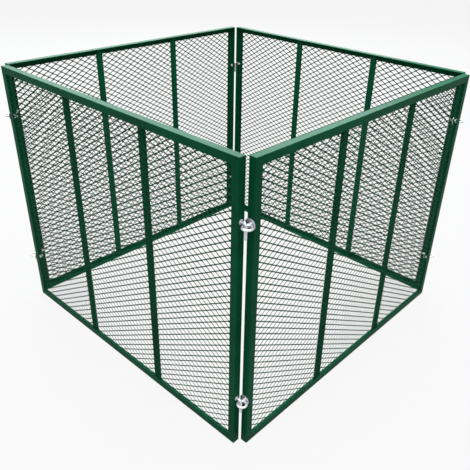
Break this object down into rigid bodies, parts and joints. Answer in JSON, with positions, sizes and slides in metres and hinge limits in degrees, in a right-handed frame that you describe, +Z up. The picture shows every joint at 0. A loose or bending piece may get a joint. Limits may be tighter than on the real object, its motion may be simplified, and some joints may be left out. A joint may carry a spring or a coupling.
{
  "type": "leaf composter bin",
  "caption": "Square open composter bin for leaves, of expanded metal panels in angle iron frames that hook together at the corners.",
  "frame": {"origin": "on the ground, in the middle of the square that the four panels make", "axes": "+Z up along the height of the bin, +X along the front panel to its right as seen from outside, +Y from the front panel to the rear panel"},
  "size_m": [1.019, 1.019, 0.8],
  "materials": {
    "green_paint": "satin powder coat, deep green",
    "mesh_paint": "satin powder coat on expanded metal, deep green",
    "zinc_plate": "bright zinc plate"
  },
  "bodies": {
    "front_panel": {"front_top_rail": "green_paint", "front_bottom_rail": "green_paint", "front_left_post": "green_paint", "front_right_post": "green_paint", "front_left_bar": "green_paint", "front_right_bar": "green_paint", "front_mesh": "mesh_paint", "front_eye_bolts": "zinc_plate", "front_hook_bolts": "zinc_plate", "front_nuts": "zinc_plate", "front_eye_washers": "zinc_plate", "front_hook_washers": "zinc_plate"},
    "right_panel": {"right_top_rail": "green_paint", "right_bottom_rail": "green_paint", "right_left_post": "green_paint", "right_right_post": "green_paint", "right_left_bar": "green_paint", "right_right_bar": "green_paint", "right_mesh": "mesh_paint", "right_eye_bolts": "zinc_plate", "right_hook_bolts": "zinc_plate", "right_nuts": "zinc_plate", "right_eye_washers": "zinc_plate", "right_hook_washers": "zinc_plate"},
    "rear_panel": {"rear_top_rail": "green_paint", "rear_bottom_rail": "green_paint", "rear_left_post": "green_paint", "rear_right_post": "green_paint", "rear_left_bar": "green_paint", "rear_right_bar": "green_paint", "rear_mesh": "mesh_paint", "rear_eye_bolts": "zinc_plate", "rear_hook_bolts": "zinc_plate", "rear_nuts": "zinc_plate", "rear_eye_washers": "zinc_plate", "rear_hook_washers": "zinc_plate"},
    "left_panel": {"left_top_rail": "green_paint", "left_bottom_rail": "green_paint", "left_left_post": "green_paint", "left_right_post": "green_paint", "left_left_bar": "green_paint", "left_right_bar": "green_paint", "left_mesh": "mesh_paint", "left_eye_bolts": "zinc_plate", "left_hook_bolts": "zinc_plate", "left_nuts": "zinc_plate", "left_eye_washers": "zinc_plate", "left_hook_washers": "zinc_plate"}
  },
  "joints": [
    {"name": "rear_left_hinge", "type": "hinge", "parent": "rear_panel", "child": "left_panel", "pos_m": [-0.491, 0.491, 0.65], "axis": [0, 0, 1], "range_deg": [-6.5, 6.5]},
    {"name": "rear_right_hinge", "type": "hinge", "parent": "rear_panel", "child": "right_panel", "pos_m": [0.491, 0.491, 0.65], "axis": [0, 0, 1], "range_deg": [-6.5, 6.5]},
    {"name": "front_left_hinge", "type": "hinge", "parent": "left_panel", "child": "front_panel", "pos_m": [-0.491, -0.491, 0.65], "axis": [0, 0, 1], "range_deg": [-6.5, 6.5]}
  ],
  "couplings": [
    {"joint": "rear_right_hinge", "follows": "rear_left_hinge", "ratio": 1},
    {"joint": "front_left_hinge", "follows": "rear_left_hinge", "ratio": -1}
  ]
}
